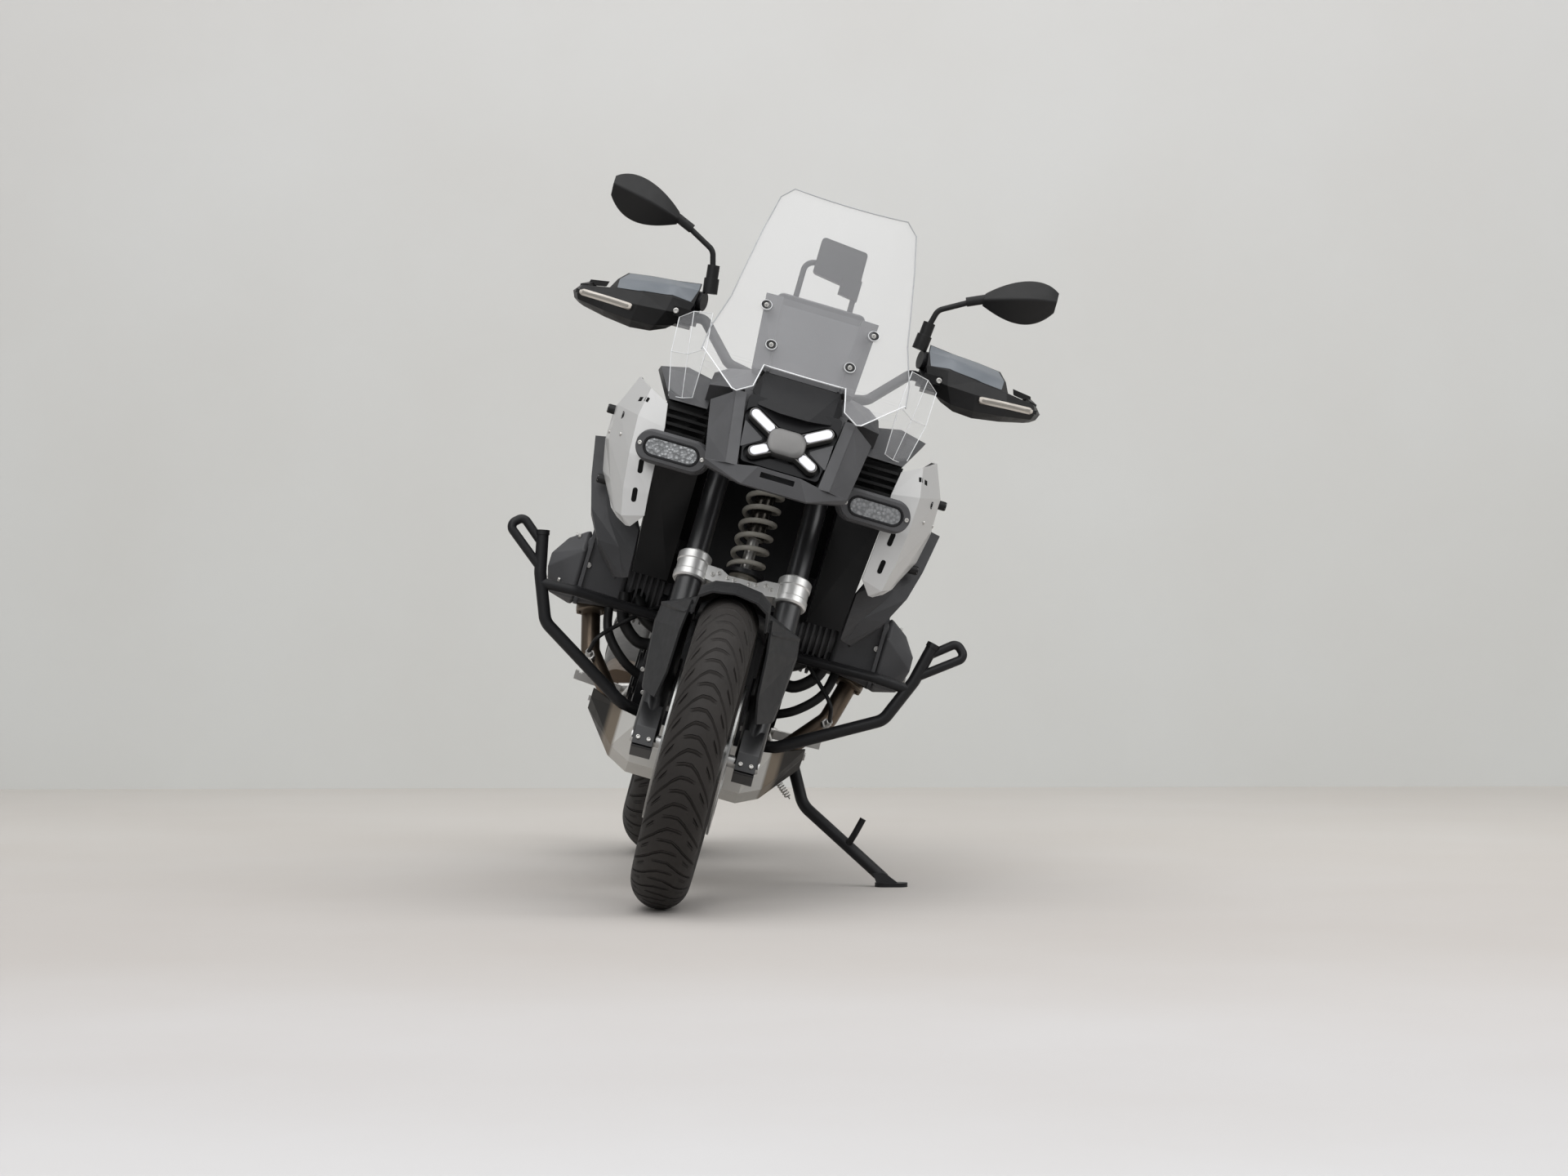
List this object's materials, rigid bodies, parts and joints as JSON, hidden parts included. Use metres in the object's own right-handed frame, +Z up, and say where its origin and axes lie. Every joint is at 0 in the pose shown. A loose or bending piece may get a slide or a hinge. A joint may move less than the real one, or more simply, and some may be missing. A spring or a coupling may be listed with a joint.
{
  "type": "adventure motorcycle",
  "caption": "Adventure motorcycle with flat twin engine, wire wheels, tall clear screen, crash bars and shaft drive, leaning on its side stand.",
  "frame": {"origin": "on the floor, under the middle of the bounding box of the machine as it leans on its side stand", "axes": "+Y to the rear along the wheelbase, +X to the rider's left (the side it leans to), +Z up; the front faces -Y"},
  "size_m": [1.1614, 2.2771, 1.5152],
  "materials": {
    "frame_black": "satin black powder coat",
    "engine_grey": "satin dark grey casting",
    "engine_black": "satin black casting",
    "stainless": "heat-tinted stainless",
    "raw_aluminium": "brushed",
    "panel_black": "fine grain",
    "panel_silver": "satin pale metallic",
    "panel_dark": "satin",
    "lamp_body": "gloss",
    "lamp_clear": "gloss",
    "clear_screen": "clear",
    "seat_cover": "grained vinyl",
    "footrest_steel": "cast",
    "spring_beige": "gloss",
    "fork_black": "satin anodised",
    "machined_silver": "turned",
    "tyre_rubber": "matte",
    "rim_metal": "anodised with polished edge",
    "disc_steel": "ground"
  },
  "bodies": {
    "frame": {"main_frame": "frame_black", "rear_frame": "frame_black", "engine_block": "engine_grey", "cylinder_left": "engine_black", "cylinder_right": "engine_black", "exhaust": "stainless", "skid_plate": "raw_aluminium", "crash_bar_left": "frame_black", "crash_bar_right": "frame_black", "fuel_tank": "panel_black", "tank_panel_left": "panel_silver", "tank_panel_right": "panel_silver", "side_shield_left": "panel_dark", "side_shield_right": "panel_dark", "radiator_left": "panel_black", "radiator_right": "panel_black", "beak": "panel_dark", "headlight": "lamp_body", "aux_light_left": "lamp_clear", "aux_light_right": "lamp_clear", "windscreen": "clear_screen", "wind_deflector_left": "clear_screen", "wind_deflector_right": "clear_screen", "cockpit": "panel_dark", "device_holder": "panel_black", "seat_rider": "seat_cover", "seat_pillion": "seat_cover", "tail_body": "panel_black", "luggage_rack": "frame_black", "rear_mudguard": "panel_black", "footrest_left": "footrest_steel", "footrest_right": "footrest_steel", "front_arm": "frame_black", "front_strut": "spring_beige", "swingarm": "engine_black", "rear_strut": "spring_beige"},
    "steering": {"fork_leg_left": "fork_black", "fork_leg_right": "fork_black", "fork_bridge": "machined_silver", "upper_bridge": "fork_black", "handlebar": "fork_black", "handguard_left": "panel_black", "handguard_right": "panel_black", "mirror_left": "panel_black", "mirror_right": "panel_black", "front_fender": "panel_black", "front_axle": "machined_silver"},
    "front_wheel": {"front_tyre": "tyre_rubber", "front_rim": "rim_metal", "front_disc_left": "disc_steel", "front_disc_right": "disc_steel"},
    "rear_wheel": {"rear_tyre": "tyre_rubber", "rear_rim": "rim_metal", "rear_disc": "disc_steel"},
    "side_stand": {"side_stand": "frame_black"}
  },
  "joints": [
    {"name": "steering", "type": "hinge", "parent": "frame", "child": "steering", "pos_m": [-0.0146, -0.4685, 0.90761], "axis": [0.2518, 0.4415, 0.8612], "range_deg": [-35, 41]},
    {"name": "front_wheel_spin", "type": "hinge", "parent": "steering", "child": "front_wheel", "pos_m": [-0.18958, -0.81437, 0.31631], "axis": [0.965, -0.047, -0.2581], "continuous": true},
    {"name": "rear_wheel_spin", "type": "hinge", "parent": "frame", "child": "rear_wheel", "pos_m": [-0.18978, 0.719, 0.30854], "axis": [0.9598, 0, -0.2807], "continuous": true},
    {"name": "side_stand_fold", "type": "hinge", "parent": "frame", "child": "side_stand", "pos_m": [0.02555, -0.198, 0.27531], "axis": [0.9253, 0.2551, 0.2808], "range_deg": [0, 104]}
  ]
}
